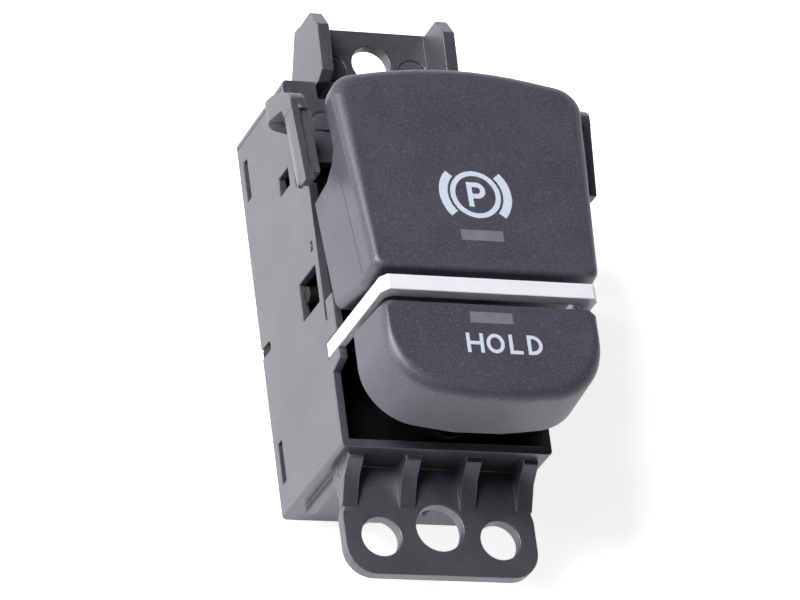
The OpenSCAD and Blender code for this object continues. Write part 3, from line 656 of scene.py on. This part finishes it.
def addPartingShadeLine(name, sign):
    mesh = bmesh.new()
    rows = []
    for i in range(partingShade["steps"] + 1):
        y = nearEndY + partingShade["from"] + (partingShade["to"] - partingShade["from"]) * i / partingShade["steps"]
        middle = faceSlope["parking_button"](y) - partingShade["below"]
        corners = []
        for z in (middle + partingShade["width"] / 2, middle - partingShade["width"] / 2):
            start = Vector((sign * partingShade["beside"], y, z)) * mm
            x = castRay("parking_button", start, (-sign, 0, 0))[1].x / mm
            for out in (partingShade["proud"], -partingShade["sunk"]):
                corners.append(mesh.verts.new(((x + sign * out) * mm, y * mm, z * mm)))
        rows.append(corners)
    for (a, b, c, d), (e, f, g, h) in zip(rows, rows[1:]):
        for corners in ((a, e, g, c), (b, d, h, f), (a, b, f, e), (c, g, h, d)):
            mesh.faces.new(corners)
    for a, b, c, d in (rows[0], rows[-1]):
        mesh.faces.new((a, c, d, b))
    # the near-black cover finish gives the strip its painted shade
    line = makePiece(name, mesh, finishes["cover_plastic"])
    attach(line, "parking_rocker")


addPartingShadeLine("partingShadeLeft", -1)
addPartingShadeLine("partingShadeRight", 1)

signPlace = (prints["middleX"], nearEndY + prints["signY"])
wordPlace = (prints["wordX"], nearEndY + prints["wordY"])
signLines = parkingSign(prints)
wordLines = holdWord(prints)
parkingFace = ("parking_button", "parking_rocker")
holdFace = ("hold_button", "hold_key")
addPrint("parkingSign", *parkingFace, signLines, signPlace, printInk, "white_plastic")
addPrint("holdWord", *holdFace, wordLines, wordPlace, printInk, "white_plastic")
for pipeName, (nodeName, body) in (
    ("parking_light_pipe", parkingFace),
    ("hold_light_pipe", holdFace),
):
    plate, middle = windowPlate(pipeName)
    glass = finishes["clear_plastic"]
    addPrint(nodeName + "Window", nodeName, body, plate, middle, glass, "clear_plastic")
print("marks added")

# floor and light; lengths in m
studio = {
    "floorSize": 6.0,
    "backdropRadius": 2.9,
    "backdropHeight": 1.2,
    "backdropSides": 64,
    "floorColor": (0.8, 0.8, 0.8),
    "floorGlow": 0.82,
    "worldColor": (0.95, 0.96, 1.0),
    "worldLight": 0.05,
    "keyPlace": (-0.92, -0.06, 0.3),
    "keySize": 0.35,
    "keyPower": 2.2,
    "topPlace": (-0.55, 0.13, 0.78),
    "topSize": 0.4,
    "topPower": 11.2,
    "aim": (0, 0, 0.02),
}


def addBackgroundRays(tree):
    rays = tree.nodes.new("ShaderNodeLightPath")
    first = tree.nodes.new("ShaderNodeMath")
    first.operation = "MAXIMUM"
    tree.links.new(rays.outputs["Is Camera Ray"], first.inputs[0])
    tree.links.new(rays.outputs["Is Glossy Ray"], first.inputs[1])
    both = tree.nodes.new("ShaderNodeMath")
    both.operation = "MAXIMUM"
    tree.links.new(first.outputs[0], both.inputs[0])
    tree.links.new(rays.outputs["Is Transmission Ray"], both.inputs[1])
    return both.outputs[0]


def paleMaterial(look):
    material = bpy.data.materials.new("paleRoom")
    material.use_nodes = True
    tree = material.node_tree
    tree.nodes.clear()
    output = tree.nodes.new("ShaderNodeOutputMaterial")
    diffuse = tree.nodes.new("ShaderNodeBsdfDiffuse")
    diffuse.inputs["Color"].default_value = (*look["floorColor"], 1)
    glow = tree.nodes.new("ShaderNodeEmission")
    shown = tree.nodes.new("ShaderNodeMath")
    shown.operation = "MULTIPLY"
    tree.links.new(addBackgroundRays(tree), shown.inputs[0])
    shown.inputs[1].default_value = look["floorGlow"]
    tree.links.new(shown.outputs[0], glow.inputs["Strength"])
    both = tree.nodes.new("ShaderNodeAddShader")
    tree.links.new(diffuse.outputs[0], both.inputs[0])
    tree.links.new(glow.outputs[0], both.inputs[1])
    tree.links.new(both.outputs[0], output.inputs["Surface"])
    return material


def makeRoom(look):
    pale = paleMaterial(look)
    bpy.ops.mesh.primitive_plane_add(size=look["floorSize"], location=(0, 0, 0))
    bpy.context.object.name = "paleFloor"
    bpy.context.object.data.materials.append(pale)
    bpy.ops.mesh.primitive_cylinder_add(
        vertices=look["backdropSides"],
        radius=look["backdropRadius"],
        depth=look["backdropHeight"],
        end_fill_type="NOTHING",
        location=(0, 0, look["backdropHeight"] / 2),
    )
    bpy.context.object.name = "paleBackdrop"
    bpy.context.object.data.materials.append(pale)


def makeWorld(look):
    world = bpy.data.worlds.new("paleRoom")
    bpy.context.scene.world = world
    world.use_nodes = True
    tree = world.node_tree
    tree.nodes.clear()
    output = tree.nodes.new("ShaderNodeOutputWorld")
    sky = tree.nodes.new("ShaderNodeBackground")
    sky.inputs["Color"].default_value = (*look["worldColor"], 1)
    sky.inputs["Strength"].default_value = look["worldLight"]
    tree.links.new(sky.outputs[0], output.inputs["Surface"])


def makeLamp(name, place, size, power, aim):
    data = bpy.data.lights.new(name, "AREA")
    data.shape = "DISK"
    data.size = size
    data.energy = power
    lamp = bpy.data.objects.new(name, data)
    bpy.context.scene.collection.objects.link(lamp)
    lamp.location = place
    towards = Vector(aim) - Vector(place)
    lamp.rotation_euler = towards.to_track_quat("-Z", "Y").to_euler()


makeRoom(studio)
makeWorld(studio)
for lamp in ("key", "top"):
    place, size, power = (studio[lamp + part] for part in ("Place", "Size", "Power"))
    makeLamp(lamp + "Lamp", place, size, power, studio["aim"])
bpy.context.scene.view_settings.view_transform = "Standard"
print("stage and lamps set")
